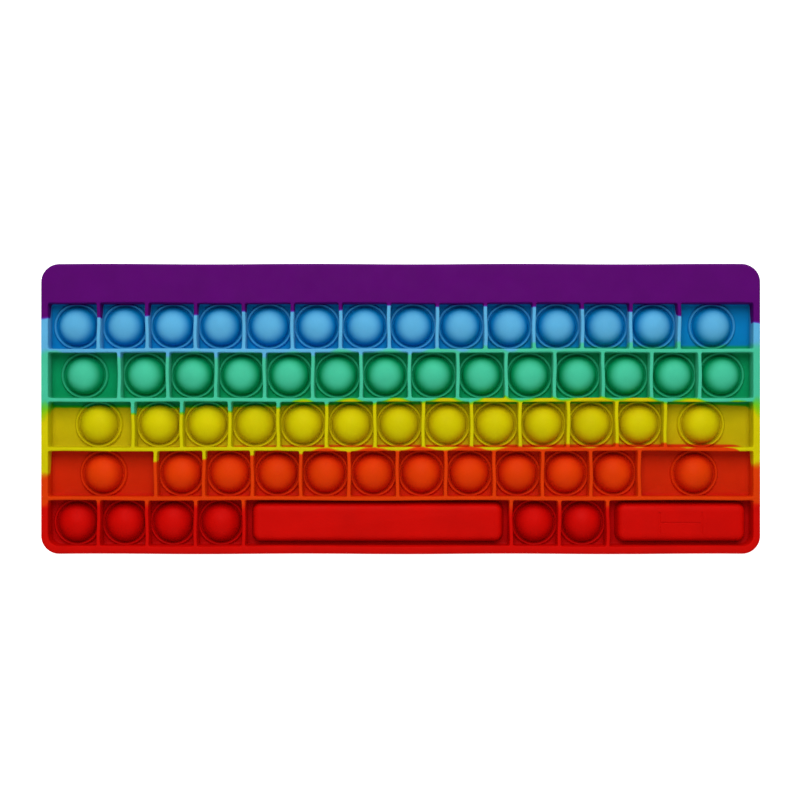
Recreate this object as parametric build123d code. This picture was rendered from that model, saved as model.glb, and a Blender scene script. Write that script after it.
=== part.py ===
from build123d import *
from math import isclose
import os

# A push-bubble fidget toy in the shape of a small computer keyboard, moulded in silicone rubber.
# A thin sheet lies at mid height inside a rim. Ribs stand on both sides of the sheet and divide
# it into key wells, with a plain header bar along the back edge. Each well holds one bubble, a
# domed shell in a round hole in the sheet that snaps through to the other side, or a long bar.
#
# Frame: +X along the rows to the right, +Y from the front edge to the header, +Z up. The origin
# is the middle of the footprint, on the surface that the toy lies on. All sizes are millimetres.

# Outline of the moulding
LENGTH = 297.5
DEPTH = 120.0
THICKNESS = 15.0
CORNER_RADIUS = 7.5
EDGE_RADIUS = 0.8
HEADER_DEPTH = 16.2
SIDE_RIM = 3.1
FRONT_WELL_CORNER_RADIUS = 4.4

# Key field
KEY_PITCH = 20.0
ROW_PITCH = 20.4
RIB_WIDTH = 1.5

# Sheet, and the collar round each hole
SHEET_THICKNESS = 1.6
COLLAR_OUTER_RADIUS = 10.3
COLLAR_HEIGHT = 1.1

# Bubbles
BUBBLE_RADIUS = 8.0
BUBBLE_WALL = 0.8
BUBBLE_CROWN_BELOW_RIM = 0.5
BUBBLE_CLEARANCE = 0.3

# Long bars of the front row
BAR_DEPTH = 17.0
BAR_END_GAP = 2.0
BAR_HEIGHT = 5.2
BAR_WALL = 1.2
BAR_CORNER_RADIUS = 4.0
BAR_TAPER = 15.0

# How far a cutting shape reaches past what it cuts
MARGIN = 1.0

# One row after another from the header, each a list of key wells from left to right. A well is
# its width, measured between the lines of its ribs or to the rim, and its bubble's distance from
# its left side. A well with no bubble holds a long bar.
SQUARE_KEY = (KEY_PITCH, KEY_PITCH / 2)
ROWS = {
    "blue": [(20.8, 10.8), *[SQUARE_KEY] * 12, (30.5, 14.7)],
    "green": [(29.3, 13.8), *[SQUARE_KEY] * 12, (22.0, 10.0)],
    "yellow": [(35.0, 19.7), *[SQUARE_KEY] * 11, (36.3, 16.0)],
    "orange": [(44.3, 21.7), *[SQUARE_KEY] * 10, (47.0, 23.8)],
    "red": [(20.8, 10.8), *[SQUARE_KEY] * 3, (110.5, None), *[SQUARE_KEY] * 2, (60.0, None)],
}

# Places worked out from the sizes above
RIM_X = LENGTH / 2 - SIDE_RIM
HEADER_FRONT = DEPTH / 2 - HEADER_DEPTH
FIELD_FRONT = HEADER_FRONT - len(ROWS) * ROW_PITCH + RIB_WIDTH
SHEET_TOP = (THICKNESS + SHEET_THICKNESS) / 2
SHEET_BOTTOM = (THICKNESS - SHEET_THICKNESS) / 2
HOLE_RADIUS = BUBBLE_RADIUS + BUBBLE_CLEARANCE
CROWN_Z = THICKNESS - BUBBLE_CROWN_BELOW_RIM


def block(x_from, x_to, y_from, y_to):
    """A plain block as high as the moulding."""
    size = Box(x_to - x_from, y_to - y_from, THICKNESS)
    return Pos((x_from + x_to) / 2, (y_from + y_to) / 2, THICKNESS / 2) * size


def row_back(index):
    """Y of the back wall of the wells of row number index, the first row being 0."""
    return HEADER_FRONT - index * ROW_PITCH


def row_centre(index):
    """Y of the middle of a row's wells."""
    return row_back(index) - (ROW_PITCH - RIB_WIDTH) / 2


def row_wells(wells):
    """The X of each well's left and right walls and of its bubble, which is None for a long bar."""
    placed = []
    line = -RIM_X
    for number, (width, offset) in enumerate(wells):
        left = line if number == 0 else line + RIB_WIDTH / 2
        bubble_x = None if offset is None else line + offset
        line += width
        right = line if number == len(wells) - 1 else line - RIB_WIDTH / 2
        placed.append((left, right, bubble_x))
    return placed


def well_plan(index, left, right):
    """Plan of one well. The two wells in the front corners have a round outer corner."""
    back = row_back(index)
    front = back - ROW_PITCH + RIB_WIDTH
    plan = Pos((left + right) / 2, (front + back) / 2) * Rectangle(right - left, back - front)
    for x in (left, right):
        if index == len(ROWS) - 1 and isclose(abs(x), RIM_X):
            plan = fillet(plan.vertices().sort_by_distance((x, front, 0))[0], FRONT_WELL_CORNER_RADIUS)
    return plan


def rim():
    """The header bar, the two side rims, the front rim and its two corners."""
    outside = extrude(RectangleRounded(LENGTH, DEPTH, CORNER_RADIUS), THICKNESS)
    outside = fillet(outside.edges().filter_by(Plane.XY), EDGE_RADIUS)
    corner_x = RIM_X - FRONT_WELL_CORNER_RADIUS
    corner_y = FIELD_FRONT + FRONT_WELL_CORNER_RADIUS
    header = outside & block(-LENGTH / 2, LENGTH / 2, HEADER_FRONT, DEPTH / 2)
    front = outside & block(-corner_x, corner_x, -DEPTH / 2, FIELD_FRONT)
    right = outside & block(RIM_X, LENGTH / 2, corner_y, HEADER_FRONT)
    corner = outside & block(corner_x, LENGTH / 2, -DEPTH / 2, corner_y)
    corner -= Pos(corner_x, corner_y, THICKNESS / 2) * Cylinder(FRONT_WELL_CORNER_RADIUS, THICKNESS)
    return [header, front, right, corner, mirror(right, Plane.YZ), mirror(corner, Plane.YZ)]


def ribs():
    """The long ribs between the rows, and the short ribs between the keys of each row."""
    made = []
    for index, wells in enumerate(ROWS.values()):
        back = row_back(index)
        front = back - ROW_PITCH + RIB_WIDTH
        if index < len(ROWS) - 1:
            made.append(block(-RIM_X, RIM_X, front - RIB_WIDTH, front))
        placed = row_wells(wells)
        made += [block(right, right + RIB_WIDTH, front, back) for _, right, _ in placed[:-1]]
    return made


def bubble_sheet(plan, x, y):
    """The sheet of one well, with the hole for its bubble and a low collar on both faces."""
    sheet = Pos(0, 0, SHEET_BOTTOM) * extrude(plan, SHEET_THICKNESS)
    low, high = SHEET_BOTTOM - COLLAR_HEIGHT, SHEET_TOP + COLLAR_HEIGHT
    well = Pos(0, 0, low) * extrude(plan, high - low)
    middle = Pos(x, y, THICKNESS / 2)
    collar = middle * Cylinder(COLLAR_OUTER_RADIUS, high - low) & well
    return sheet + collar - middle * Cylinder(HOLE_RADIUS, THICKNESS)


def tapered_block(x, y, length, depth, radius, bottom, top):
    """A block with round corners whose sides lean inwards as they rise."""
    return Pos(x, y, bottom) * extrude(RectangleRounded(length, depth, radius), top - bottom, taper=BAR_TAPER)


def bar_sheet(plan, left, right, y):
    """The sheet of one well with a long bar: a flat-topped blister, hollow from below."""
    x = (left + right) / 2
    length = right - left - 2 * BAR_END_GAP
    top = SHEET_TOP + BAR_HEIGHT
    sheet = Pos(0, 0, SHEET_BOTTOM) * extrude(plan, SHEET_THICKNESS)
    outside = tapered_block(x, y, length, BAR_DEPTH, BAR_CORNER_RADIUS, SHEET_TOP, top)
    outside = fillet(outside.faces().sort_by(Axis.Z)[-1].edges(), BAR_WALL / 2)
    inset = 2 * BAR_WALL
    inside = tapered_block(
        x, y, length - inset, BAR_DEPTH - inset, BAR_CORNER_RADIUS - BAR_WALL, SHEET_BOTTOM, top - BAR_WALL
    )
    return sheet + outside - inside


def sheets():
    """The sheet of every well."""
    made = []
    for index, wells in enumerate(ROWS.values()):
        for left, right, bubble_x in row_wells(wells):
            plan = well_plan(index, left, right)
            if bubble_x is None:
                made.append(bar_sheet(plan, left, right, row_centre(index)))
            else:
                made.append(bubble_sheet(plan, bubble_x, row_centre(index)))
    return made


def frame():
    """The fixed part of the moulding, as plain solids that meet face to face."""
    return Compound(children=[solid for shape in rim() + ribs() + sheets() for solid in shape.solids()])


def bubble(x, y):
    """A domed shell, part of a sphere, whose foot fills the hole in the sheet."""
    rise = CROWN_Z - SHEET_TOP
    sphere_radius = (rise ** 2 + BUBBLE_RADIUS ** 2) / (2 * rise)
    centre = Pos(x, y, CROWN_Z - sphere_radius)
    above_sheet = Pos(x, y, SHEET_TOP) * extrude(Circle(BUBBLE_RADIUS + MARGIN), rise + MARGIN)
    foot = Pos(x, y, SHEET_BOTTOM) * extrude(Circle(BUBBLE_RADIUS), SHEET_THICKNESS)
    inner_foot = Pos(x, y, SHEET_BOTTOM) * extrude(Circle(BUBBLE_RADIUS - BUBBLE_WALL), SHEET_THICKNESS)
    outside = (centre * Sphere(sphere_radius) & above_sheet) + foot
    hollow = (centre * Sphere(sphere_radius - BUBBLE_WALL) & above_sheet) + inner_foot
    return outside - hollow


def write(shape, name):
    """Writes one named sub-part."""
    shape.label = name
    export_step(shape, f"parts/{name}.step")


def main():
    os.makedirs("parts", exist_ok=True)
    write(frame(), "frame")
    for index, (colour, wells) in enumerate(ROWS.items()):
        bubble_xs = [x for _, _, x in row_wells(wells) if x is not None]
        for number, x in enumerate(bubble_xs, start=1):
            write(bubble(x, row_centre(index)), f"{colour}_bubble_{number:02d}")


main()
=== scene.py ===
"""Looks of a push-bubble fidget keyboard.

It is one soft silicone moulding in six colours that run into each other, with a thin dome for every bubble.
"""

import logging
import math
from dataclasses import dataclass, field
from enum import Enum
from typing import Callable, ClassVar, Sequence

import bmesh
import bpy
from mathutils import Matrix, Vector

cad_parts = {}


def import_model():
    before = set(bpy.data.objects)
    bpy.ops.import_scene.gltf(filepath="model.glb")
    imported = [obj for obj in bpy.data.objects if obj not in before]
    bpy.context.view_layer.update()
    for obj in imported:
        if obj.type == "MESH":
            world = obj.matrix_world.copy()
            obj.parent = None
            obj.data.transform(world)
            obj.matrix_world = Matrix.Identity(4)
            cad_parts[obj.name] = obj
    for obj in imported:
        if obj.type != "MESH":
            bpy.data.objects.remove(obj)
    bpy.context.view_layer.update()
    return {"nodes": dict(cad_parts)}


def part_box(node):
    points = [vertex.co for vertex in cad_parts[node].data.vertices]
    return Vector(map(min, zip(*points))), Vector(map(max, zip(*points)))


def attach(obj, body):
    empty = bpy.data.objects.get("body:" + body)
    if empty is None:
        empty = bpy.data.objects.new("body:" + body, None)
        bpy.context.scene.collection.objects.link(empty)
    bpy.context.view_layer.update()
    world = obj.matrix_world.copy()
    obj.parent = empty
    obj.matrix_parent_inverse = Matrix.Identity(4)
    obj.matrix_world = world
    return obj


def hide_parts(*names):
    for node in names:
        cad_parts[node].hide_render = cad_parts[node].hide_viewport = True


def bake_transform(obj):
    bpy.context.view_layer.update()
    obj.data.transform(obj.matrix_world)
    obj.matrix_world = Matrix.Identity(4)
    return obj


LOG = logging.getLogger("bubble_keyboard")
Socket = bpy.types.NodeSocket
Value = Socket | float
Point = tuple[float, float]
Table = tuple[Point, ...]

MM = 0.001
UP = Vector((0.0, 0.0, 1.0))
WHITE = (1.0, 1.0, 1.0, 1.0)

# Points closer than this are merged, edges shorter than this dissolved, and places this near count as one
MERGE_DISTANCE = 0.002 * MM
SHORTEST_EDGE = 0.001 * MM
SAME_PLACE = 0.1 * MM

# Edges where the surface turns by more than this stay sharp
SHARP_ANGLE = math.radians(38)

# The attribute that says how far up its piece a point lies, which sets its painted shade lower down
RISE = "rise"

# Where a Mix node has its two colours and its mixed one
MIX_FIRST, MIX_SECOND, MIX_RESULT = 6, 7, 2


class Colour(Enum):
    """The six silicone colours, in order from the header to the front row."""

    PURPLE = "purple"
    BLUE = "blue"
    GREEN = "green"
    YELLOW = "yellow"
    ORANGE = "orange"
    RED = "red"

    @property
    def slot(self) -> str:
        """The record's material slot of this colour."""
        return f"{self.value}_silicone"


ROW_COLOURS = (Colour.BLUE, Colour.GREEN, Colour.YELLOW, Colour.ORANGE, Colour.RED)


def srgb(red: int, green: int, blue: int) -> tuple[float, float, float, float]:
    """Turns a colour swatch of 0 to 255 a channel into linear light.

    A channel of 0 counts as 1, because pigments mix by multiplying and would stay at nothing.

    Args:
        red: The swatch's red.
        green: The swatch's green.
        blue: The swatch's blue.

    Returns:
        The linear colour, with an alpha of 1.
    """
    offset, power, knee, slope = 0.055, 2.4, 0.04045, 12.92
    shares = [max(channel, 1) / 255 for channel in (red, green, blue)]
    linear = [((s + offset) / (1 + offset)) ** power if s > knee else s / slope for s in shares]
    return (*linear, 1.0)


# ---------------------------------------------------------------------------------------------
# Finishes
# ---------------------------------------------------------------------------------------------


@dataclass(frozen=True)
class SiliconeColour:
    """The pigment of one silicone, as a lit copy and a darker copy that is painted shade.

    Args:
        surface: Its colour on raised surfaces.
        deep: A darker, more saturated copy of it for low surfaces down in the wells: painted shade.
    """

    surface: tuple[float, float, float, float]
    deep: tuple[float, float, float, float]


# Each colour's lit swatch, and its darker copy painted on as the shade in the wells
PIGMENTS: dict[Colour, SiliconeColour] = {
    Colour.PURPLE: SiliconeColour(srgb(93, 4, 113), srgb(66, 0, 88)),
    Colour.BLUE: SiliconeColour(srgb(98, 184, 230), srgb(0, 126, 190)),
    Colour.GREEN: SiliconeColour(srgb(74, 204, 162), srgb(0, 148, 92)),
    Colour.YELLOW: SiliconeColour(srgb(218, 206, 0), srgb(196, 176, 0)),
    Colour.ORANGE: SiliconeColour(srgb(230, 62, 2), srgb(204, 38, 0)),
    Colour.RED: SiliconeColour(srgb(212, 7, 1), srgb(184, 0, 0)),
}


@dataclass(frozen=True)
class Border:
    """Where one colour gives way to the next, on the way from the header to the front.

    Args:
        line: Y of the border down on the sheet, in millimetres.
        drift: How far the border lies from that line on the rib tops and rims, as (X, offset) in millimetres.
        floor_share: How much of that drift the border also has on the sheet.
        wave: How far it swings at each key on the rib tops, and the X of a key where it lies furthest back.
        wander: How far the border wanders to each side of its drift, in millimetres.
        softness: Half the width over which the two colours mix, in millimetres.
        rim_softness: The same on the side rims.
    """

    line: float
    drift: Table
    floor_share: float
    wave: Point
    wander: float
    softness: float
    rim_softness: float


BORDERS: tuple[Border, ...] = (
    Border(43.9, ((-150, -6.0), (-95, -5.2), (-50, -3.6), (15, -1.2), (75, -2.6), (150, -8.5)),
           0.0, (0.0, 0.0), 0.7, 0.6, 0.8),
    Border(25.2, ((-150, -2.9), (-110, -3.2), (-30, -2.0), (30, -0.4), (90, 1.3), (150, 2.1)),
           0.45, (1.1, -4.85), 0.9, 0.8, 2.0),
    Border(1.8, ((-150, -2.7), (-75, -2.2), (-35, 0.9), (20, 2.0), (70, 3.0), (120, 1.6), (150, -1.0)),
           0.3, (1.1, -0.65), 0.9, 0.9, 5.0),
    Border(-14.9, ((-150, -13.9), (-130, -9.0), (-75, -4.4), (-30, -2.1), (10, -1.6), (50, -1.0), (137, -0.8),
                   (145, -9.0), (150, -9.4)), 0.2, (0.9, 8.65), 0.5, 0.6, 2.4),
    Border(-37.2, ((-150, -3.0), (-60, -3.6), (30, -4.6), (150, -3.4)), 0.0, (0.0, 0.0), 2.0, 2.8, 1.8),
)


@dataclass(frozen=True)
class SkinFinish:
    """The skin of moulded silicone, and how light passes through it. Scales are features a millimetre.

    Args:
        cloud: Scale of the cloudy pigment, and its share of the cloudiness.
        speck: The same of the fine specks in it.
        cloud_strength: How strongly both change the colour's value.
        smear: Scale of the marks that handling leaves.
        smear_range: The noise values between which a mark goes from nothing to full.
        roughness: Roughness of clean and of handled skin.
        grain: Scale of the matte grain, and its share of the bump.
        swell: The same of the slight swelling of a soft face.
        bump: Strength of the bump.
        bump_depth: The height that it stands for.
        specular: How strongly the skin reflects.
        subsurface: How much of the light passes through the skin.
        subsurface_depth: How far that light goes.
        subsurface_spread: How far its red, green and blue go, as shares of that.
    """

    cloud: Point = (0.07, 0.8)
    speck: Point = (1.4, 0.2)
    cloud_strength: float = 0.34
    smear: float = 0.18
    smear_range: Point = (0.3, 0.7)
    roughness: Point = (0.52, 0.66)
    grain: Point = (7.0, 0.5)
    swell: Point = (0.35, 1.6)
    bump: float = 0.16
    bump_depth: float = 0.25 * MM
    specular: float = 0.05
    subsurface: float = 0.12
    subsurface_depth: float = 1.2 * MM
    subsurface_spread: tuple[float, float, float] = (1.0, 0.6, 0.5)


@dataclass(frozen=True)
class FlowFinish:
    """How the frame's colours and their painted shade lie on its rims, ribs and sheet, in millimetres.

    Args:
        rim: Distances in from the side where a border takes on the rim's softness, and where it has it all.
        outer: Distances in from the outer sides where the lit surface colour takes over from the painted
            shade, and where it is full.
        wall: Heights above the sheet's middle where the lit surface colour takes over from the painted shade
            of the wells, and where it is full.
        collar: The same on the collars.
        collar_painted_light: How much of the lit surface colour a collar's crest has, as painted light on the
            bead.
        wander_scale: Features a millimetre of the borders' wandering.
        wander_apart: How far apart their noise is taken, so that each border wanders on its own.
        top_wander: How many times further a border wanders on the rib tops than on the sheet.
        drift_span: How far to each side of the toy's middle the drift is given.
        drift_reach: The most that a border may drift.
    """

    rim: Point = (4.5, 1.5)
    outer: Point = (1.4, 0.5)
    wall: Point = (0.9, 4.8)
    collar: Point = (1.0, 1.9)
    collar_painted_light: float = 0.32
    wander_scale: float = 0.08
    wander_apart: float = 60.0
    top_wander: float = 4.0
    drift_span: float = 150.0
    drift_reach: float = 12.0


SKIN = SkinFinish()
FLOW = FlowFinish()


class Group:
    """A shader node group that is being built."""

    def __init__(self, name: str, inputs: dict[str, float], outputs: dict[str, str]) -> None:
        """Makes the empty group with its sockets.

        Args:
            name: The group's name.
            inputs: Its float inputs, with their default values.
            outputs: Its outputs, with their socket types.
        """
        self.tree = bpy.data.node_groups.new(name, "ShaderNodeTree")
        for label, value in inputs.items():
            socket = self.tree.interface.new_socket(name=label, in_out="INPUT", socket_type="NodeSocketFloat")
            socket.default_value = value
        for label, kind in outputs.items():
            self.tree.interface.new_socket(name=label, in_out="OUTPUT", socket_type=kind)
        self.source = self.tree.nodes.new("NodeGroupInput")
        self.sink = self.tree.nodes.new("NodeGroupOutput")

    def node(self, kind: str, **settings: object) -> bpy.types.Node:
        """Adds a node.

        Args:
            kind: The node's type.
            settings: The properties that are set on it.

        Returns:
            The node.
        """
        made = self.tree.nodes.new(kind)
        for key, value in settings.items():
            setattr(made, key, value)
        return made

    def link(self, start: Socket, end: Socket) -> None:
        """Joins two sockets."""
        self.tree.links.new(start, end)

    def feed(self, socket: Socket, value: Value) -> None:
        """Puts a number or another node's output on a socket.

        Args:
            socket: The socket.
            value: What it gets.
        """
        if isinstance(value, Socket):
            self.link(value, socket)
        else:
            socket.default_value = value

    def math(self, operation: str, *values: Value) -> Socket:
        """Adds a Math node.

        Args:
            operation: What it does.
            values: Its inputs, numbers or sockets.

        Returns:
            Its result.
        """
        made = self.node("ShaderNodeMath", operation=operation)
        for socket, value in zip(made.inputs, values):
            self.feed(socket, value)
        return made.outputs[0]

    def ramp(self, value: Value, low: Value, high: Value,
             to_low: float = 0.0, to_high: float = 1.0) -> Socket:
        """Maps a value smoothly from one range onto another.

        Args:
            value: The value.
            low: Where its range starts.
            high: Where its range ends.
            to_low: What comes out up to the start.
            to_high: What comes out from the end on.

        Returns:
            The mapped value.
        """
        made = self.node("ShaderNodeMapRange", interpolation_type="SMOOTHSTEP")
        for socket, number in zip(made.inputs, (value, low, high, to_low, to_high)):
            self.feed(socket, number)
        return made.outputs["Result"]

    def noise(self, vector: Socket, scale: float, detail: float) -> Socket:
        """Adds a noise texture.

        Args:
            vector: Where it is read.
            scale: How fine it is.
            detail: How many finer layers it has.

        Returns:
            Its value, which lies about a half.
        """
        made = self.node("ShaderNodeTexNoise")
        self.link(vector, made.inputs["Vector"])
        made.inputs["Scale"].default_value = scale
        made.inputs["Detail"].default_value = detail
        return made.outputs["Fac"]

    def mix(self, factor: Socket, first: object, second: object) -> Socket:
        """Mixes two colours.

        Args:
            factor: How much there is of the second.
            first: The first colour or its socket.
            second: The second colour or its socket.

        Returns:
            The mixed colour.
        """
        made = self.node("ShaderNodeMix", data_type="RGBA")
        self.link(factor, made.inputs["Factor"])
        self.feed(made.inputs[MIX_FIRST], first)
        self.feed(made.inputs[MIX_SECOND], second)
        return made.outputs[MIX_RESULT]

    def run_together(self, share: Socket, first: Socket, second: Socket) -> Socket:
        """Mixes two pigments as they mix in the mould, where each filters the other's light.

        Args:
            share: How much there is of the second.
            first: The first colour.
            second: The second colour.

        Returns:
            The mixed colour.
        """
        filtered = []
        for colour, power in ((first, self.math("SUBTRACT", 1.0, share)), (second, share)):
            made = self.node("ShaderNodeGamma")
            self.link(colour, made.inputs["Color"])
            self.link(power, made.inputs["Gamma"])
            filtered.append(made.outputs["Color"])
        both = self.node("ShaderNodeMix", data_type="RGBA", blend_type="MULTIPLY")
        both.inputs["Factor"].default_value = 1.0
        self.link(filtered[0], both.inputs[MIX_FIRST])
        self.link(filtered[1], both.inputs[MIX_SECOND])
        return both.outputs[MIX_RESULT]

    def place(self) -> tuple[Socket, list[Socket]]:
        """Finds the point on the toy, in millimetres.

        Returns:
            It as a vector, and its X, Y and Z.
        """
        spot = self.node("ShaderNodeTexCoord")
        scaled = self.node("ShaderNodeVectorMath", operation="SCALE")
        self.link(spot.outputs["Object"], scaled.inputs[0])
        scaled.inputs["Scale"].default_value = 1 / MM
        parts = self.node("ShaderNodeSeparateXYZ")
        self.link(scaled.outputs[0], parts.inputs[0])
        return scaled.outputs[0], list(parts.outputs)


class Palette:
    """Every material of the toy, and the node groups that they share."""

    def __init__(self, sizes: "Sizes") -> None:
        """Builds the shared node groups.

        Args:
            sizes: The moulding's sizes, which say where the sheet and the outer sides lie.
        """
        self.sizes = sizes
        self.skin = self._skin_group()
        self.flow = self._flow_group()

    def _skin_group(self) -> bpy.types.NodeTree:
        """The surface of moulded silicone: cloudy pigment, a fine matte grain and faint handling marks.

        Returns:
            The node group.
        """
        outputs = {label: "NodeSocketFloat" for label in ("Cloud", "Roughness", "Height")}
        group = Group("silicone_skin", {"Cloud": SKIN.cloud_strength, "Grain": SKIN.grain[1]}, outputs)
        point, _ = group.place()
        cloud = group.noise(point, SKIN.cloud[0], detail=3.0)
        speck = group.noise(point, SKIN.speck[0], detail=2.0)
        clouds = group.math("MULTIPLY", cloud, SKIN.cloud[1])
        specks = group.math("MULTIPLY", speck, SKIN.speck[1])
        centred = group.math("SUBTRACT", group.math("ADD", clouds, specks), 0.5)
        amount = group.math("MULTIPLY", centred, group.source.outputs["Cloud"])
        group.link(group.math("ADD", amount, 1.0), group.sink.inputs["Cloud"])
        smear = group.noise(point, SKIN.smear, detail=4.0)
        group.link(group.ramp(smear, *SKIN.smear_range, *SKIN.roughness), group.sink.inputs["Roughness"])
        grain = group.noise(point, SKIN.grain[0], detail=3.0)
        swell = group.noise(point, SKIN.swell[0], detail=1.0)
        fine = group.math("MULTIPLY", grain, group.source.outputs["Grain"])
        coarse = group.math("MULTIPLY", swell, SKIN.swell[1])
        group.link(group.math("ADD", fine, coarse), group.sink.inputs["Height"])
        return group.tree

    def _flow_group(self) -> bpy.types.NodeTree:
        """The six colours of the frame, which run into each other along wandering borders, each with painted
        shade low in the wells.

        Returns:
            The node group.
        """
        group = Group("colour_flow", {}, {"Color": "NodeSocketColor"})
        point, (x, y, z) = group.place()
        above = group.math("ABSOLUTE", group.math("SUBTRACT", z, self.sizes.middle / MM))
        side_edge, end_edge = self.sizes.high.x / MM, self.sizes.high.y / MM
        across = group.math("ABSOLUTE", x)
        on_rim = group.ramp(across, side_edge - FLOW.rim[0], side_edge - FLOW.rim[1])
        past_side = group.ramp(across, side_edge - FLOW.outer[0], side_edge - FLOW.outer[1])
        endways = group.math("ABSOLUTE", y)
        past_end = group.ramp(endways, end_edge - FLOW.outer[0], end_edge - FLOW.outer[1])
        outside = group.math("MAXIMUM", past_side, past_end)
        # Painted shade: low surfaces in the wells take each colour's darker copy, while raised tops, outer
        # sides and collar crests take the lit one
        raised = group.math("MAXIMUM", group.ramp(above, *FLOW.wall), outside)
        collar_lit_share = group.ramp(above, *FLOW.collar, 0.0, FLOW.collar_painted_light)
        lit = group.math("MAXIMUM", raised, collar_lit_share)
        along = group.math("DIVIDE", group.math("ADD", x, FLOW.drift_span), 2 * FLOW.drift_span)
        shade = {c: group.mix(lit, PIGMENTS[c].deep, PIGMENTS[c].surface) for c in Colour}
        colour = shade[Colour.PURPLE]
        for number, (border, below) in enumerate(zip(BORDERS, ROW_COLOURS), start=1):
            drift = self._drift(group, border, along)
            moved = group.node("ShaderNodeVectorMath", operation="ADD")
            group.link(point, moved.inputs[0])
            moved.inputs[1].default_value = (0.0, 0.0, FLOW.wander_apart * number)
            noise = group.noise(moved.outputs[0], FLOW.wander_scale, detail=2.0)
            wander = group.math("SUBTRACT", noise, 0.5)
            wide = group.math("MULTIPLY", wander, FLOW.top_wander * border.wander)
            swing = group.math("ADD", self._wave(group, border, x), wide)
            top_offset = group.math("MULTIPLY", swing, raised)
            held = group.ramp(raised, 0.0, 1.0, border.floor_share, 1.0)
            floor_offset = group.math("MULTIPLY", wander, border.wander)
            top = group.math("ADD", group.math("MULTIPLY", drift, held), top_offset)
            offset = group.math("ADD", top, floor_offset)
            past = group.math("SUBTRACT", group.math("ADD", offset, border.line), y)
            extra = group.math("MULTIPLY", on_rim, border.rim_softness - border.softness)
            soft = group.math("ADD", extra, border.softness)
            share = group.ramp(past, group.math("MULTIPLY", soft, -1.0), soft)
            colour = group.run_together(share, colour, shade[below])
        group.link(colour, group.sink.inputs["Color"])
        return group.tree

    def _drift(self, group: Group, border: Border, along: Socket) -> Socket:
        """A border's drift along the toy, as a curve that stands at half its height where there is none.

        Args:
            group: The node group that is being built.
            border: The border.
            along: The place along the toy, from 0 to 1.

        Returns:
            The drift in millimetres.
        """
        span, reach = 2 * FLOW.drift_span, 2 * FLOW.drift_reach
        curve = group.node("ShaderNodeFloatCurve")
        points = curve.mapping.curves[0].points
        while len(points) < len(border.drift):
            points.new(0.5, 0.5)
        for mark, (x, offset) in zip(points, border.drift):
            mark.location = ((x + FLOW.drift_span) / span, 0.5 + offset / reach)
        curve.mapping.extend = "HORIZONTAL"
        curve.mapping.use_clip = False
        curve.mapping.update()
        group.link(along, curve.inputs["Value"])
        centred = group.math("SUBTRACT", curve.outputs[0], 0.5)
        return group.math("MULTIPLY", centred, reach)

    def _wave(self, group: Group, border: Border, x: Socket) -> Socket:
        """How a border swings from key to key.

        Args:
            group: The node group that is being built.
            border: The border.
            x: X in millimetres.

        Returns:
            The swing in millimetres.
        """
        swing, crest = border.wave
        turn = math.tau / (self.sizes.pitch / MM)
        angle = group.math("MULTIPLY", group.math("SUBTRACT", x, crest), turn)
        return group.math("MULTIPLY", group.math("COSINE", angle), swing)

    def _silicone(self, name: str, colour: Colour, flowing: bool) -> bpy.types.Material:
        """One silicone, either of one pigment or with the frame's running colours, each with painted shade
        low down.

        Args:
            name: The material's name.
            colour: Its own pigment.
            flowing: Whether the neighbouring colours run into it.

        Returns:
            The material.
        """
        made = bpy.data.materials.new(name)
        made.use_nodes = True
        nodes, links = made.node_tree.nodes, made.node_tree.links
        shader = nodes["Principled BSDF"]
        skin = nodes.new("ShaderNodeGroup")
        skin.node_tree = self.skin
        skin.inputs["Cloud"].default_value = SKIN.cloud_strength
        skin.inputs["Grain"].default_value = SKIN.grain[1]
        tint = nodes.new("ShaderNodeHueSaturation")
        links.new(skin.outputs["Cloud"], tint.inputs["Value"])
        if flowing:
            flow = nodes.new("ShaderNodeGroup")
            flow.node_tree = self.flow
            links.new(flow.outputs["Color"], tint.inputs["Color"])
        else:
            # Painted shade: the darker copy low on a dome or bar, the lit colour towards its top
            painted_shade_rise = nodes.new("ShaderNodeAttribute")
            painted_shade_rise.attribute_name = RISE
            painted_shade_mix = nodes.new("ShaderNodeMix")
            painted_shade_mix.data_type = "RGBA"
            painted_shade_mix.inputs[MIX_FIRST].default_value = PIGMENTS[colour].deep
            painted_shade_mix.inputs[MIX_SECOND].default_value = PIGMENTS[colour].surface
            links.new(painted_shade_rise.outputs["Fac"], painted_shade_mix.inputs["Factor"])
            links.new(painted_shade_mix.outputs[MIX_RESULT], tint.inputs["Color"])
        links.new(tint.outputs["Color"], shader.inputs["Base Color"])
        links.new(skin.outputs["Roughness"], shader.inputs["Roughness"])
        bump = nodes.new("ShaderNodeBump")
        bump.inputs["Strength"].default_value = SKIN.bump
        bump.inputs["Distance"].default_value = SKIN.bump_depth
        links.new(skin.outputs["Height"], bump.inputs["Height"])
        links.new(bump.outputs["Normal"], shader.inputs["Normal"])
        shader.inputs["Specular IOR Level"].default_value = SKIN.specular
        shader.inputs["Subsurface Weight"].default_value = SKIN.subsurface
        shader.inputs["Subsurface Scale"].default_value = SKIN.subsurface_depth
        shader.inputs["Subsurface Radius"].default_value = SKIN.subsurface_spread
        return made

    def frame_silicone(self, colour: Colour) -> bpy.types.Material:
        """The silicone of one colour band of the frame."""
        return self._silicone(f"{colour.value}_frame_silicone", colour, True)

    def bar_silicone(self) -> bpy.types.Material:
        """The silicone of the two long bars."""
        return self._silicone("long_bar_silicone", Colour.RED, False)

    def dome_silicone(self, colour: Colour) -> bpy.types.Material:
        """The silicone of one row's bubbles."""
        return self._silicone(f"{colour.value}_bubble_silicone", colour, False)


# ---------------------------------------------------------------------------------------------
# Sizes and mesh helpers
# ---------------------------------------------------------------------------------------------


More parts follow.
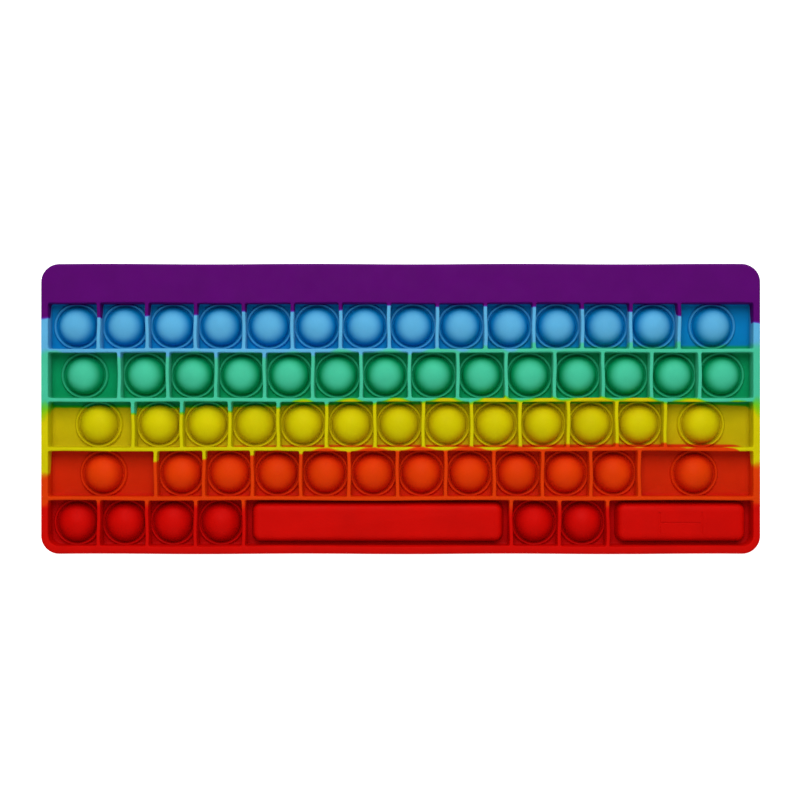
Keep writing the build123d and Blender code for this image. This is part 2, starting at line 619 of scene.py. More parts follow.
@dataclass(frozen=True)
class Sizes:
    """The moulding's sizes, read from the frame where it gives them, in metres.

    Args:
        low: The frame's lowest corner.
        high: The frame's highest corner.
        corner_radius: Plan radius of the toy's corners.
        side_rim: Width of the side rims.
        front_rim: Width of the front rim.
        rib: Thickness of the ribs.
        pitch: Distance from key to key.
        row_depth: Depth of a row's wells.
        sheet: Thickness of the sheet.
        well_corner: Plan radius of a well's corners.
        front_well_corner: The same at the toy's own front corners.
    """

    low: Vector
    high: Vector
    corner_radius: float = 7.5 * MM
    side_rim: float = 3.1 * MM
    front_rim: float = 3.3 * MM
    rib: float = 1.5 * MM
    pitch: float = 20.0 * MM
    row_depth: float = 18.9 * MM
    sheet: float = 1.6 * MM
    well_corner: float = 0.7 * MM
    front_well_corner: float = 4.4 * MM

    @property
    def middle(self) -> float:
        """Height of the middle of the sheet."""
        return (self.low.z + self.high.z) / 2

    @property
    def sheet_top(self) -> float:
        """Height of the sheet's upper face."""
        return self.middle + self.sheet / 2

    @property
    def rim_x(self) -> float:
        """How far the inner faces of the side rims lie from the middle."""
        return self.high.x - self.side_rim

    @property
    def field_front(self) -> float:
        """Y of the front rim's inner face."""
        return self.low.y + self.front_rim


def chain(bm: bmesh.types.BMesh, rings: Sequence[Sequence[Vector]]) -> list[bmesh.types.BMEdge]:
    """Draws a surface through rings of points, by extruding a circle from each ring to the next.

    Args:
        bm: The mesh that the surface is added to.
        rings: The rings, all with the same number of points in the same order.

    Returns:
        The edges of the last ring.
    """
    verts = bmesh.ops.create_circle(bm, cap_ends=False, segments=len(rings[0]), radius=1.0)["verts"]
    edges = list({edge for vert in verts for edge in vert.link_edges})
    for vert, point in zip(verts, rings[0]):
        vert.co = point
    for ring in rings[1:]:
        order = {vert: number for number, vert in enumerate(verts)}
        made = bmesh.ops.extrude_edge_only(bm, edges=edges)["geom"]
        fresh = [item for item in made if isinstance(item, bmesh.types.BMVert)]
        inside = set(fresh)
        drawn = [item for item in made if isinstance(item, bmesh.types.BMEdge)]
        edges = [edge for edge in drawn if inside.issuperset(edge.verts)]
        numbered = {}
        for vert in fresh:
            old = next(o for e in vert.link_edges if (o := e.other_vert(vert)) in order)
            numbered[order[old]] = vert
        verts = [numbered[number] for number in range(len(ring))]
        for vert, point in zip(verts, ring):
            vert.co = point
    return edges


def tidy(bm: bmesh.types.BMesh) -> None:
    """Merges doubles, turns the faces outwards and marks the sharp edges.

    Args:
        bm: The mesh, a closed shell.
    """
    bmesh.ops.remove_doubles(bm, verts=bm.verts, dist=MERGE_DISTANCE)
    bmesh.ops.dissolve_degenerate(bm, edges=bm.edges, dist=SHORTEST_EDGE)
    bmesh.ops.recalc_face_normals(bm, faces=bm.faces)
    for face in bm.faces:
        face.smooth = True
    for edge in bm.edges:
        edge.smooth = edge.calc_face_angle(0.0) < SHARP_ANGLE


def make_object(bm: bmesh.types.BMesh, name: str, material: bpy.types.Material) -> bpy.types.Object:
    """Turns a mesh into an object at the origin.

    Args:
        bm: The mesh, which is freed.
        name: The object's name.
        material: Its material.

    Returns:
        The object.
    """
    mesh = bpy.data.meshes.new(name)
    bm.to_mesh(mesh)
    bm.free()
    mesh.materials.append(material)
    made = bpy.data.objects.new(name, mesh)
    bpy.context.scene.collection.objects.link(made)
    LOG.info("%s: %d faces", name, len(mesh.polygons))
    return made


def mark_rise(piece: bpy.types.Object, low: float, high: float) -> None:
    """Notes on a piece's points how far up it they lie, for its painted shade, rising smoothly from 0 to 1.

    Args:
        piece: The piece.
        low: The height where the mark is 0.
        high: The height where it reaches 1.
    """
    marks = piece.data.attributes.new(RISE, "FLOAT", "POINT")
    share = [min(max((vert.co.z - low) / (high - low), 0.0), 1.0) for vert in piece.data.vertices]
    marks.data.foreach_set("value", [s * s * (3 - 2 * s) for s in share])


@dataclass(frozen=True)
class RoundedRectangle:
    """A rectangle with round corners, walked as a ring whose points keep their count when it grows.

    Args:
        left: Its lowest X.
        right: Its highest X.
        front: Its lowest Y.
        back: Its highest Y.
        radii: The radii of its corners: front right, back right, back left, front left.
        arc: How many steps a corner takes.
        side: How many steps a side takes.
    """

    left: float
    right: float
    front: float
    back: float
    radii: tuple[float, float, float, float]
    arc: int = 6
    side: int = 8

    SMALLEST_RADIUS: ClassVar[float] = 0.05 * MM

    def ring(self, grow: float, z: float) -> list[Vector]:
        """The ring of points of the rectangle grown to all sides, at a height.

        Args:
            grow: How far each side is moved outwards.
            z: The height.

        Returns:
            The points, anticlockwise from the front right corner.
        """
        corners = (
            (self.right, self.front, 1, -1, -90), (self.right, self.back, 1, 1, 0),
            (self.left, self.back, -1, 1, 90), (self.left, self.front, -1, -1, 180),
        )
        arcs = []
        for corner_radius, (x, y, sx, sy, start) in zip(self.radii, corners):
            radius = max(corner_radius + grow, self.SMALLEST_RADIUS)
            centre = Vector((x + sx * (grow - radius), y + sy * (grow - radius), z))
            turns = [math.radians(start + 90 * step / self.arc) for step in range(self.arc + 1)]
            arcs.append([centre + radius * Vector((math.cos(t), math.sin(t), 0)) for t in turns])
        points = []
        for number, arc in enumerate(arcs):
            points += arc
            following = arcs[(number + 1) % 4][0]
            points += [arc[-1].lerp(following, step / self.side) for step in range(1, self.side)]
        return points


@dataclass(frozen=True)
class Well:
    """One key well: its walls, and the bubble or bar that it holds.

    Args:
        left: X of its left wall.
        right: X of its right wall.
        front: Y of its front wall.
        back: Y of its back wall.
        bubble: X of its bubble's centre, or None for a bar.
        sizes: The moulding's sizes.
    """

    left: float
    right: float
    front: float
    back: float
    bubble: float | None
    sizes: Sizes

    # Sections in millimetres: a collar's distances from the bubble's centre, a fillet's in from the wall
    # and a wall's outwards, each with its heights above the sheet
    COLLAR: ClassVar[Table] = (
        (8.05, 0.0), (8.4, 0.02), (8.58, 0.2), (8.75, 0.62), (8.92, 1.0), (9.12, 1.16), (9.4, 1.18),
        (9.62, 1.02), (9.8, 0.66), (9.96, 0.24), (10.15, 0.0),
    )
    FILLET: ClassVar[Table] = ((1.0, 0.0), (0.5, 0.08), (0.2, 0.26), (0.05, 0.5), (0.0, 0.8))
    WALL: ClassVar[Table] = (
        (-0.13, 0.8), (-0.06, 3.6), (-0.02, 5.9), (0.03, 6.3), (0.13, 6.55), (0.3, 6.68), (0.38, 6.7),
    )

    # How many rays a ring has, and where a corner's arc has its middle, in radii from both walls
    RAYS: ClassVar[int] = 48
    ARC_MIDDLE: ClassVar[float] = 0.29

    # A ray's share of X or Y below which it never meets that wall, and the distance it then gets
    ALONG_WALL: ClassVar[float] = 1e-9
    NO_WALL: ClassVar[float] = 1.0

    # Width of the flat strip round a bar's opening
    BAR_STRIP: ClassVar[float] = 0.1 * MM

    @property
    def centre(self) -> Point:
        """The middle of its bubble, or of the well if it holds a bar."""
        x = (self.left + self.right) / 2 if self.bubble is None else self.bubble
        return x, (self.front + self.back) / 2

    def corner_radius(self, x: float, y: float) -> float:
        """The plan radius of one of its corners, which is large only at the toy's own front corners.

        Args:
            x: The corner's X.
            y: The corner's Y.

        Returns:
            The radius.
        """
        at_side = abs(abs(x) - self.sizes.rim_x) < SAME_PLACE
        at_front = y < 0 and abs(y - self.sizes.field_front) < SAME_PLACE
        return self.sizes.front_well_corner if at_side and at_front else self.sizes.well_corner

    def reach(self, angle: float, grow: float = 0.0) -> float:
        """How far its wall is from the bubble's centre in one direction.

        Args:
            angle: The direction.
            grow: How far the walls are moved outwards.

        Returns:
            The distance.
        """
        cx, cy = self.centre
        dx, dy = math.cos(angle), math.sin(angle)
        wall_x, wall_y = (self.right if dx > 0 else self.left), (self.back if dy > 0 else self.front)
        sx, sy = math.copysign(1, dx), math.copysign(1, dy)
        radius = self.corner_radius(wall_x, wall_y) + grow
        wall_x, wall_y = wall_x + sx * grow, wall_y + sy * grow
        far_x = (wall_x - cx) / dx if abs(dx) > self.ALONG_WALL else self.NO_WALL
        far_y = (wall_y - cy) / dy if abs(dy) > self.ALONG_WALL else self.NO_WALL
        far = min(far_x, far_y)
        ax, ay = wall_x - sx * radius - cx, wall_y - sy * radius - cy
        if (far * dx - ax) * sx > 0 and (far * dy - ay) * sy > 0:
            along = ax * dx + ay * dy
            across = ax * ax + ay * ay - along * along
            far = along + math.sqrt(max(radius * radius - across, 0.0))
        return far

    def directions(self) -> list[float]:
        """The directions of the rays from the bubble's centre, three of them to each corner.

        Returns:
            Their angles, rising.
        """
        cx, cy = self.centre
        marks = []
        for x, sx in ((self.left, -1), (self.right, 1)):
            for y, sy in ((self.front, -1), (self.back, 1)):
                radius = self.corner_radius(x, y)
                for back_x, back_y in ((1, 0), (self.ARC_MIDDLE, self.ARC_MIDDLE), (0, 1)):
                    spot = (x - sx * radius * back_x - cx, y - sy * radius * back_y - cy)
                    marks.append(math.atan2(spot[1], spot[0]))
        turn = math.tau / self.RAYS
        plain = [-math.pi + turn * (step + 0.5) for step in range(self.RAYS)]
        clear = [a for a in plain if all(abs(math.remainder(a - m, math.tau)) > turn / 3 for m in marks)]
        return sorted(clear + marks)

    def bubble_rings(self) -> list[list[Vector]]:
        """The rings from the hole in the sheet over the collar, the floor and the wall to the rib top.

        Returns:
            The rings, from the hole outwards.
        """
        cx, cy = self.centre
        rays = [(math.cos(a), math.sin(a), a) for a in self.directions()]
        base = self.sizes.sheet_top
        reach = [self.reach(a, self.WALL[0][0] * MM) for _, _, a in rays]

        def ring(radius: Callable[[float], float]) -> list[Vector]:
            """Makes one ring on the floor.

            Args:
                radius: Gives its distance from the centre, from the wall's distance.

            Returns:
                Its points.
            """
            points = []
            for (dx, dy, _), far in zip(rays, reach):
                out = radius(far)
                points.append(Vector((cx + dx * out, cy + dy * out, base + self.floor_rise(out, far))))
            return points

        hole = self.COLLAR[0][0] * MM
        rings = [[Vector((cx + dx * hole, cy + dy * hole, self.sizes.middle)) for dx, dy, _ in rays]]
        for radius, _ in self.COLLAR:
            rings.append(ring(lambda far, r=radius * MM: min(r, far)))
        last = self.COLLAR[-1][0] * MM
        for inset, _ in self.FILLET:
            rings.append(ring(lambda far, d=inset * MM: max(far - d, min(last, far))))
        for grow, rise in self.WALL[1:]:
            spots = [(dx, dy, self.reach(a, grow * MM)) for dx, dy, a in rays]
            rings.append([Vector((cx + dx * out, cy + dy * out, base + rise * MM)) for dx, dy, out in spots])
        return rings

    def floor_rise(self, out: float, far: float) -> float:
        """How high the floor stands above the sheet, on the collar or in the fillet at the wall."""
        collar = interpolate(self.COLLAR, out / MM)
        return max(collar, interpolate(self.FILLET[::-1], (far - out) / MM)) * MM

    def bar_rings(self, opening: RoundedRectangle) -> list[list[Vector]]:
        """The rings from a bar's opening in the sheet over the floor and the wall to the rib top.

        Args:
            opening: The opening.

        Returns:
            The rings, from the opening outwards.
        """
        left, right, front, back = self.left, self.right, self.front, self.back
        corners = ((right, front), (right, back), (left, back), (left, front))
        radii = tuple(self.corner_radius(x, y) for x, y in corners)
        outer = RoundedRectangle(left, right, front, back, radii, opening.arc, opening.side)
        base = self.sizes.sheet_top
        first = self.WALL[0][0] * MM
        rings = [opening.ring(0, self.sizes.middle), opening.ring(0, base)]
        rings.append(opening.ring(self.BAR_STRIP, base))
        rings += [outer.ring(first - inset * MM, base + rise * MM) for inset, rise in self.FILLET[1:]]
        rings += [outer.ring(grow * MM, base + rise * MM) for grow, rise in self.WALL[1:]]
        return rings


def interpolate(table: Sequence[Point], at: float) -> float:
    """Reads a curve that is flat beyond its ends.

    Args:
        table: Its (place, height) pairs, in rising order.
        at: The place.

    Returns:
        The height there.
    """
    if at <= table[0][0]:
        return table[0][1]
    for (x0, y0), (x1, y1) in zip(table, table[1:]):
        if at <= x1:
            return y0 + (y1 - y0) * (at - x0) / (x1 - x0)
    return table[-1][1]


# ---------------------------------------------------------------------------------------------
# Sub-assemblies
# ---------------------------------------------------------------------------------------------


@dataclass
class Row:
    """One row of keys: its bubbles as the frame has them, and its wells.

    Args:
        colour: The row's colour.
        sizes: The moulding's sizes.
        nodes: The names of its bubbles' nodes, from left to right.
    """

    colour: Colour
    sizes: Sizes
    nodes: list[str]
    centres: list[Vector] = field(init=False)

    # How far a key may be from the pitch, and how far its ribs stay from the side rims
    PITCH_TOLERANCE: ClassVar[float] = 0.3 * MM
    RIM_CLEARANCE: ClassVar[float] = 5 * MM

    def __post_init__(self) -> None:
        """Finds the bubbles' centres."""
        self.centres = [sum(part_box(node), Vector()) / 2 for node in self.nodes]

    @property
    def y(self) -> float:
        """Y of the row's middle."""
        return self.centres[0].y

    def rib_lines(self) -> list[float]:
        """X of the ribs between its keys: half a pitch to each side of every bubble in a regular key.

        Returns:
            The lines, from left to right.
        """
        pitch, end = self.sizes.pitch, self.sizes.rim_x
        xs = [centre.x for centre in self.centres]
        regular = [x for x in xs if any(abs(abs(x - other) - pitch) < self.PITCH_TOLERANCE for other in xs)]
        lines = {round(x + side * pitch / 2, 5) for x in regular for side in (-1, 1)}
        inside = sorted(line for line in lines if abs(line) < end - self.RIM_CLEARANCE)
        return [line for line, before in zip(inside, [-math.inf, *inside]) if line - before > MM]

    def wells(self) -> list[Well]:
        """Finds its wells.

        Returns:
            The wells, from left to right.
        """
        end, half_rib, half_row = self.sizes.rim_x, self.sizes.rib / 2, self.sizes.row_depth / 2
        lines = self.rib_lines()
        lefts = [-end, *[line + half_rib for line in lines]]
        rights = [*[line - half_rib for line in lines], end]
        made = []
        for left, right in zip(lefts, rights):
            bubble = next((c.x for c in self.centres if left < c.x < right), None)
            made.append(Well(left, right, self.y - half_row, self.y + half_row, bubble, self.sizes))
        return made


@dataclass
class LongBar:
    """A long flat-topped bar of the front row: a blister that fills an opening in the sheet.

    Args:
        name: The piece's name.
        well: The well that it stands in.
        grooves: The engraved lines on its top, as (X, Y, length, width) from its middle in millimetres.
        gap_left: Gap between its foot and the well's left wall.
        gap_right: The same at the right wall.
        gap_end: The same at the front and back walls.
        set_back: How far it stands back from the well's middle.
        corner: Plan radius of its corners.
        skin: Thickness of its wall.
        overlap: How far its sides reach into the sheet.
        groove_depth: How deep the engraving goes.
        groove_edge: Radius of the engraving's edges.
        painted_shade_fade_end: How far below its top the lit surface colour is full; below that its sides
            take painted shade.
    """

    name: str
    well: Well
    grooves: tuple[tuple[float, float, float, float], ...] = ()
    gap_left: float = 2.0 * MM
    gap_right: float = 2.0 * MM
    gap_end: float = 1.0 * MM
    set_back: float = 0.3 * MM
    corner: float = 4.0 * MM
    skin: float = 1.2 * MM
    overlap: float = 0.05 * MM
    groove_depth: float = 0.3 * MM
    groove_edge: float = 0.2 * MM
    painted_shade_fade_end: float = 1.0 * MM

    # Sections of its side and of the hollow in it, in millimetres outwards and above the sheet
    SLOPE: ClassVar[Table] = (
        (0.0, -0.5), (0.0, 0.05), (-0.2, 0.5), (-0.75, 2.5), (-1.0, 3.4), (-1.4, 4.2), (-2.0, 4.8),
        (-2.8, 5.1), (-3.8, 5.2),
    )
    HOLLOW: ClassVar[Table] = ((-2.0, 3.7), (-1.4, 3.5), (-1.0, 3.0), (-0.1, -0.5))

    @property
    def opening(self) -> RoundedRectangle:
        """The outline of its foot.

        Returns:
            The outline.
        """
        well, end, back = self.well, self.gap_end, self.set_back
        left, right = well.left + self.gap_left, well.right - self.gap_right
        front, rear = well.front + end + back, well.back - end + back
        return RoundedRectangle(left, right, front, rear, (self.corner,) * 4, arc=7, side=12)

    def build(self, material: bpy.types.Material) -> bpy.types.Object:
        """Makes the bar as a closed shell, hollow from below, with its engraving cut.

        Args:
            material: Its silicone.

        Returns:
            The piece.
        """
        base, outline = self.well.sizes.sheet_top, self.opening
        bm = bmesh.new()
        outer = [outline.ring(self.overlap + grow * MM, base + rise * MM) for grow, rise in self.SLOPE]
        inner = [outline.ring(grow * MM - self.skin, base + rise * MM) for grow, rise in self.HOLLOW]
        underside = 2 * self.well.sizes.middle - base
        foot = outline.ring(0, underside)
        crown = chain(bm, [foot, *outer])
        bmesh.ops.contextual_create(bm, geom=crown)
        ceiling = chain(bm, [foot, outline.ring(-self.skin, underside), *inner[::-1]])
        bmesh.ops.contextual_create(bm, geom=ceiling)
        tidy(bm)
        made = make_object(bm, self.name, material)
        top = base + self.SLOPE[-1][1] * MM
        if self.grooves:
            self._engrave(made, top)
        # Painted shade on the bar's sides, darker towards the sheet
        mark_rise(made, base, top - self.painted_shade_fade_end)
        return made

    def _engrave(self, bar: bpy.types.Object, top: float) -> None:
        """Cuts the lines into the bar's top.

        Args:
            bar: The bar.
            top: The height of its top.
        """
        cx, cy = self.well.centre
        bm = bmesh.new()
        for x, y, length, width in self.grooves:
            size = Matrix.Diagonal((length * MM, width * MM, 2 * self.groove_depth, 1.0))
            spot = Matrix.Translation((cx + x * MM, cy + y * MM, top))
            verts = bmesh.ops.create_cube(bm, size=1.0, matrix=spot @ size)["verts"]
            edges = list({edge for vert in verts for edge in vert.link_edges})
            bmesh.ops.bevel(bm, geom=edges, offset=self.groove_edge, segments=2, affect="EDGES",
                            profile=0.5, material=-1)
        cutter = make_object(bm, f"{self.name}_cutter", bar.data.materials[0])
        cut = bar.modifiers.new("engraving", "BOOLEAN")
        cut.operation, cut.object, cut.solver = "DIFFERENCE", cutter, "EXACT"
        cut.use_self = True
        bpy.context.view_layer.update()
        finished = bpy.data.meshes.new_from_object(bar.evaluated_get(bpy.context.evaluated_depsgraph_get()))
        bar.modifiers.clear()
        bar.data = finished
        bpy.data.objects.remove(cutter)


@dataclass
class Moulding:
    """The fixed part of the toy: header, rims, ribs and sheet, cut into its colour bands.

    Args:
        sizes: The moulding's sizes.
        rows: The rows of keys, from the header on.
        bars: The long bars, whose openings the sheet leaves.
        sway: How far the rib tops wander.
        sway_fade: How far from the side rims that starts.
        header_strip: How much of the first row's back wall is the header's.
    """

    sizes: Sizes
    rows: list[Row]
    bars: list[LongBar]
    sway: float = 0.16 * MM
    sway_fade: float = 6 * MM
    header_strip: float = 0.7 * MM

    # Section of the outer side, in millimetres outwards and above the rim's top
    EDGE: ClassVar[Table] = (
        (-1.25, 0.0), (-1.15, 0.0), (-0.72, -0.09), (-0.36, -0.33), (-0.1, -0.7), (0.0, -1.15),
        (0.0, -1.6), (0.0, -6.6), (0.0, -6.9), (0.1, -7.15), (0.12, -7.5),
    )

    # The swaying's turns a millimetre of X and of Y, in radians, for its X and for its Y, and a shift
    SWAY_X: ClassVar[Point] = (0.13, 0.31)
    SWAY_Y: ClassVar[Point] = (0.074, 0.05)
    SWAY_SHIFT: ClassVar[float] = 1.3

    def _outside(self, bm: bmesh.types.BMesh) -> list[bmesh.types.BMEdge]:
        """Draws the upper half of the outer side, from the parting line to the rim's top.

        Args:
            bm: The mesh that it is added to.

        Returns:
            The edges at the rim's top.
        """
        low, high = self.sizes.low, self.sizes.high
        radii = (self.sizes.corner_radius,) * 4
        outline = RoundedRectangle(low.x, high.x, low.y, high.y, radii, arc=12, side=40)
        return chain(bm, [outline.ring(grow * MM, high.z + rise * MM) for grow, rise in reversed(self.EDGE)])

    def _upper_half(self) -> bmesh.types.BMesh:
        """The moulding above the middle of its sheet.

        Returns:
            Its mesh, open along that plane.
        """
        bm = bmesh.new()
        flat_edges = self._outside(bm)
        openings = {bar.well.left: bar.opening for bar in self.bars}
        for row in self.rows:
            for well in row.wells():
                if well.bubble is None:
                    rings = well.bar_rings(openings[well.left])
                else:
                    rings = well.bubble_rings()
                flat_edges += chain(bm, rings)
        bmesh.ops.triangle_fill(bm, use_beauty=True, use_dissolve=False, edges=flat_edges, normal=UP)
        return bm

    def _sway(self, bm: bmesh.types.BMesh) -> None:
        """Lets the rib tops wander a little, as thin soft ribs do.

        Args:
            bm: The moulding's mesh.
        """
        middle, half = self.sizes.middle, self.sizes.high.z - self.sizes.middle
        for vert in bm.verts:
            x, y, _ = vert.co / MM
            share = min(abs(vert.co.z - middle) / half, 1.0) ** 2
            inside = min(max((self.sizes.rim_x - abs(vert.co.x)) / self.sway_fade, 0.0), 1.0)
            reach = self.sway * share * inside
            vert.co.x += reach * math.sin(self.SWAY_X[0] * x + self.SWAY_X[1] * y)
            vert.co.y += reach * math.sin(self.SWAY_Y[0] * x + self.SWAY_Y[1] * y + self.SWAY_SHIFT)

    def _whole(self) -> bmesh.types.BMesh:
        """The whole moulding with both its faces.

        Returns:
            Its mesh, one closed shell.
        """
        bm = self._upper_half()
        bmesh.ops.translate(bm, verts=bm.verts, vec=-self.sizes.middle * UP)
        bmesh.ops.mirror(bm, geom=[*bm.verts, *bm.edges, *bm.faces], matrix=Matrix.Identity(4),
                         merge_dist=MERGE_DISTANCE, axis="Z")
        bmesh.ops.translate(bm, verts=bm.verts, vec=self.sizes.middle * UP)
        tidy(bm)
        self._sway(bm)
        return bm

    def _cuts(self) -> list[float]:
        """Finds the planes between the bands.

        Returns:
            Their Y, from the header's on.
        """
        half = (self.sizes.row_depth + self.sizes.rib) / 2
        header = self.rows[0].y + self.sizes.row_depth / 2 + self.header_strip
        return [header, *[row.y - half for row in self.rows[:-1]]]

    def build(self, palette: Palette) -> list[tuple[Colour, bpy.types.Object]]:
        """Makes the six colour bands.

        Args:
            palette: The toy's materials.

        Returns:
            Each band's colour and piece.
        """
        whole = self._whole()
        cuts = self._cuts()
        backs, fronts = [None, *cuts], [*cuts, None]
        bands = []
        for colour, back, front in zip(Colour, backs, fronts):
            bm = whole.copy()
            for y, towards in ((back, 1), (front, -1)):
                if y is not None:
                    slice_off(bm, y, towards)
            tidy(bm)
            bands.append((colour, make_object(bm, f"{colour.value}_band", palette.frame_silicone(colour))))
        whole.free()
        return bands


def slice_off(bm: bmesh.types.BMesh, y: float, towards: int) -> None:
    """Cuts a closed mesh across at Y and removes what lies beyond, closing the cut.

    Args:
        bm: The mesh.
        y: Where it is cut.
        towards: 1 to remove what lies at higher Y, -1 for lower Y.
    """
    cut = bmesh.ops.bisect_plane(bm, geom=[*bm.verts, *bm.edges, *bm.faces], dist=SHORTEST_EDGE,
                                 plane_co=(0, y, 0), plane_no=(0, towards, 0), clear_outer=True)
    rim = [item for item in cut["geom_cut"] if isinstance(item, bmesh.types.BMEdge) and item.is_boundary]
    bmesh.ops.holes_fill(bm, edges=rim, sides=0)


@dataclass
class Dome:
    """One push bubble: a thin domed shell whose foot fills the hole; only its raised pose is built, not its
    snap through the hole.

    Args:
        sizes: The moulding's sizes.
        crown: Height of the crown's top.
        radius: Radius of its foot.
        wall: Thickness of its wall.
        fullness: The power of its section, where 2 is a plain ellipse.
        turns: How many faces go round it.
        steps: How many go from its foot to its crown.
        painted_shade_fade_start: How far above the sheet the lit surface colour starts; below it lies painted
            shade.
        painted_shade_fade_end: How far below its crown that colour is full, with no painted shade left.
    """

    sizes: Sizes
    crown: float
    radius: float = 8.1 * MM
    wall: float = 0.55 * MM
    fullness: float = 1.85
    turns: int = 44
    steps: int = 13
    painted_shade_fade_start: float = 2.4 * MM
    painted_shade_fade_end: float = 0.5 * MM

    def _shell(self) -> bmesh.types.BMesh:
        """The shell round the vertical axis: its half section, spun.

        Returns:
            Its mesh.
        """
        foot = 2 * self.sizes.middle - self.sizes.sheet_top
        bore = self.radius - self.wall
        outer = self._side(self.radius, self.sizes.sheet_top, self.crown)
        inner = self._side(bore, self.sizes.sheet_top, self.crown - self.wall)
        section = [*outer[::-1], Vector((self.radius, 0, foot)), Vector((bore, 0, foot)), *inner]
        bm = bmesh.new()
        verts = [bm.verts.new(point) for point in section]
        edges = [bm.edges.new(pair) for pair in zip(verts, verts[1:])]
        bmesh.ops.spin(bm, geom=[*verts, *edges], cent=(0, 0, 0), axis=UP, dvec=(0, 0, 0), angle=math.tau,
                       steps=self.turns, use_merge=True, use_duplicate=False)
        tidy(bm)
        return bm

    def _side(self, radius: float, low: float, high: float) -> list[Vector]:
        """Half the section of one of its faces.

        Args:
            radius: The radius at its foot.
            low: The height of its foot.
            high: The height of its crown.

        Returns:
            The points, from its foot to its crown.
        """
        power, quarter = 2 / self.fullness, math.pi / 2
        points = []
        for angle in (quarter * step / self.steps for step in range(self.steps + 1)):
            out = radius * max(math.cos(angle), 0.0) ** power if angle < quarter else 0.0
            points.append(Vector((out, 0, low + (high - low) * math.sin(angle) ** power)))
        return points

    def build(self, row: Row, material: bpy.types.Material) -> None:
        """Makes a row's bubbles, each in place of the frame's bubble, which it hides.

        Args:
            row: The row.
            material: Its silicone.
        """
        shell = self._shell()
        for node, centre in zip(row.nodes, row.centres):
            bm = shell.copy()
            bmesh.ops.translate(bm, verts=bm.verts, vec=(centre.x, centre.y, 0))
            piece = make_object(bm, node.replace("bubble", "dome"), material)
            # Painted shade, darker towards the dome's foot
            mark_rise(piece, self.sizes.sheet_top + self.painted_shade_fade_start, self.crown - self.painted_shade_fade_end)
            start = (centre.x, centre.y, self.sizes.sheet_top)
            end = (centre.x, centre.y, self.crown)
            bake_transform(piece)
            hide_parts(node)
        shell.free()


@dataclass
class Toy:
    """The whole toy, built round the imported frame.

    Args:
        node_names: The names of the frame's nodes.
    """

    node_names: list[str]
    sizes: Sizes = field(init=False)
    rows: list[Row] = field(init=False)

    def __post_init__(self) -> None:
        """Reads the sizes and the rows from the frame."""
        self.sizes = Sizes(*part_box("frame"))
        self.rows = []
        for colour in ROW_COLOURS:
            nodes = sorted(name for name in self.node_names if name.startswith(f"{colour.value}_bubble"))
            self.rows.append(Row(colour, self.sizes, nodes))

    def _bars(self) -> list[LongBar]:
        """The two long bars of the front row. The right one has two short grooves that a long one joins.

        Returns:
            The bars, from left to right.
        """
        space_well, arrow_well = [well for well in self.rows[-1].wells() if well.bubble is None]
        apart, tall, width = 17.5, 9.0, 0.9
        grooves = ((-apart / 2, 0.0, width, tall), (apart / 2, 0.0, width, tall), (0.0, 0.0, apart, width))
        arrow_bar = LongBar("arrow_bar", arrow_well, grooves, gap_left=2.8 * MM)
        return [LongBar("space_bar", space_well), arrow_bar]

    def build(self) -> None:
        """Builds and dresses every piece."""
        palette = Palette(self.sizes)
        bars = self._bars()
        for colour, band in Moulding(self.sizes, self.rows, bars).build(palette):
            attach(band, "frame")
            if colour is Colour.PURPLE:
                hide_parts("frame")
        bar_silicone = palette.bar_silicone()
        for bar in bars:
            piece = bar.build(bar_silicone)
            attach(piece, "frame")
        for row in self.rows:
            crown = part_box(row.nodes[0])[1].z
            Dome(self.sizes, crown).build(row, palette.dome_silicone(row.colour))


# ---------------------------------------------------------------------------------------------
# Studio
# ---------------------------------------------------------------------------------------------


@dataclass(frozen=True)
class SoftLight:
    """A large soft lamp aimed at the toy.

    Args:
        name: The lamp's name.
        place: Where it hangs.
        size: How wide it is.
        power: How strong it is, in watts.
    """

    name: str
    place: tuple[float, float, float]
    size: float
    power: float

    def hang(self) -> None:
        """Adds the lamp."""
        data = bpy.data.lights.new(self.name, "AREA")
        data.size, data.energy = self.size, self.power
        lamp = bpy.data.objects.new(self.name, data)
        lamp.location = self.place
        lamp.rotation_euler = (-Vector(self.place)).to_track_quat("-Z", "Y").to_euler()
        bpy.context.scene.collection.objects.link(lamp)


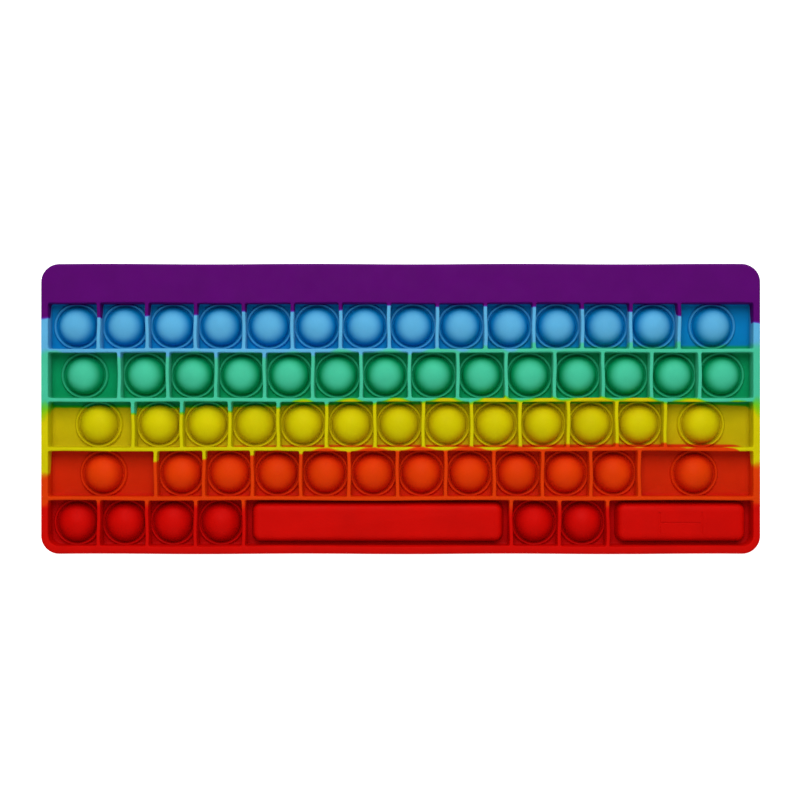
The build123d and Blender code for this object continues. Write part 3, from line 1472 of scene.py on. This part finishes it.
@dataclass
class Studio:
    """The camera straight above the toy, a pale floor and soft light.

    Args:
        eye: Where the camera hangs.
        lens: Its focal length in millimetres.
        sensor: Its sensor's width in millimetres.
        nearest: The nearest that it sees.
        floor_size: Width of the floor.
        floor_glow: How strongly the floor glows, which keeps it white.
        floor_tooth: Features a metre of the paper's tooth.
        floor_shade: The paper's darkest and lightest shade.
        floor_roughness: The paper's roughness.
        room_light: Strength of the light from all round.
        lights: The soft lamps.
    """

    eye: tuple[float, float, float] = (-0.00027, 0.0037, 0.5576)
    lens: float = 59.13
    sensor: float = 36.0
    nearest: float = 0.01
    floor_size: float = 60.0
    floor_glow: float = 0.85
    floor_tooth: float = 40.0
    floor_shade: Point = (0.93, 0.96)
    floor_roughness: float = 0.9
    room_light: float = 0.2
    lights: tuple[SoftLight, ...] = (
        SoftLight("window", (0.0, 0.7, 0.95), 0.9, 11.2),
        SoftLight("fill", (0.0, -0.8, 0.9), 1.0, 3.0),
    )

    def set_camera(self) -> None:
        """Hangs the camera above the toy, looking straight down."""
        data = bpy.data.cameras.new("camera")
        data.lens, data.sensor_width = self.lens, self.sensor
        data.clip_start = self.nearest
        camera = bpy.data.objects.new("camera", data)
        camera.location = self.eye
        bpy.context.scene.collection.objects.link(camera)
        bpy.context.scene.camera = camera

    def set_stage(self) -> None:
        """Lays the floor and lights the room."""
        bm = bmesh.new()
        bmesh.ops.create_grid(bm, x_segments=2, y_segments=2, size=self.floor_size / 2)
        make_object(bm, "floor", self._floor_paper())
        for light in self.lights:
            light.hang()
        world = bpy.data.worlds.new("room")
        world.use_nodes = True
        room = world.node_tree.nodes["Background"]
        room.inputs["Color"].default_value = WHITE
        room.inputs["Strength"].default_value = self.room_light
        bpy.context.scene.world = world
        bpy.context.scene.view_settings.view_transform = "Standard"

    def _floor_paper(self) -> bpy.types.Material:
        """White paper with a barely visible tooth.

        Returns:
            The floor's material.
        """
        made = bpy.data.materials.new("floor_paper")
        made.use_nodes = True
        nodes, links = made.node_tree.nodes, made.node_tree.links
        shader = nodes["Principled BSDF"]
        spot = nodes.new("ShaderNodeTexCoord")
        tooth = nodes.new("ShaderNodeTexNoise")
        tooth.inputs["Scale"].default_value = self.floor_tooth
        shade = nodes.new("ShaderNodeMapRange")
        shade.inputs["To Min"].default_value, shade.inputs["To Max"].default_value = self.floor_shade
        links.new(spot.outputs["Object"], tooth.inputs["Vector"])
        links.new(tooth.outputs["Fac"], shade.inputs["Value"])
        links.new(shade.outputs["Result"], shader.inputs["Base Color"])
        shader.inputs["Roughness"].default_value = self.floor_roughness
        shader.inputs["Emission Color"].default_value = WHITE
        shader.inputs["Emission Strength"].default_value = self.floor_glow
        return made


def main() -> None:
    """Builds the studio and the toy."""
    logging.basicConfig(level=logging.INFO, format="%(name)s: %(message)s")
    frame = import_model()
    studio = Studio()
    studio.set_camera()
    studio.set_stage()
    Toy(sorted(frame["nodes"])).build()


if __name__ == "__main__":
    main()
